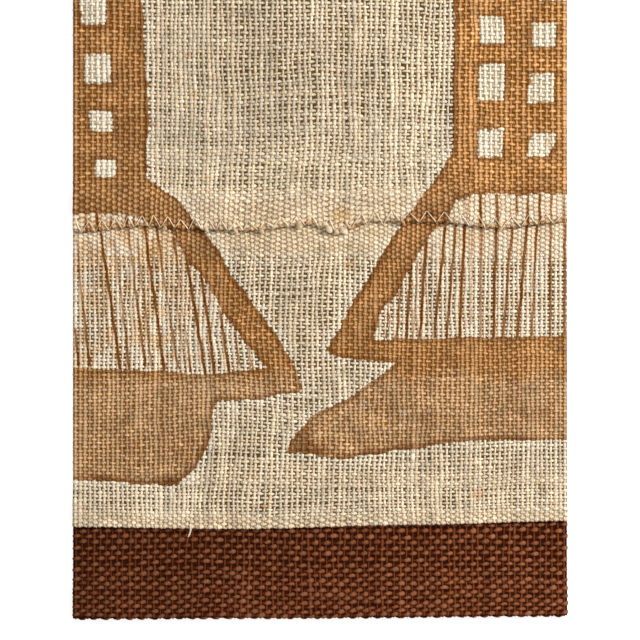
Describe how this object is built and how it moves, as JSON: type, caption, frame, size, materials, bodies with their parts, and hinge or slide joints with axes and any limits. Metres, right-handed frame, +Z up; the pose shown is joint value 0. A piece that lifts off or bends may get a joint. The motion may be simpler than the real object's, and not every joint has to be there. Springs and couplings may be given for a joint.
{
  "type": "korhogo cloth",
  "caption": "Cut length of handwoven cotton cloth lying flat: cream strips lapped and stitched at a seam, painted in ochre dye, with a coarse brown hemmed border.",
  "frame": {"origin": "bottom centre of the bounding box, on the surface that the cloth lies on", "axes": "+Z up out of the cloth's face, +Y from the brown border towards the upper strip, +X along the strips to the right"},
  "size_m": [0.1976, 0.288, 0.0035],
  "materials": {
    "cream_cotton": "handspun cotton, plain weave, painted in ochre dye",
    "brown_cotton": "coarse open plain weave, rust brown"
  },
  "bodies": {
    "root": {"upper_strip": "cream_cotton", "lower_strip": "cream_cotton", "border_band": "brown_cotton"}
  },
  "joints": []
}
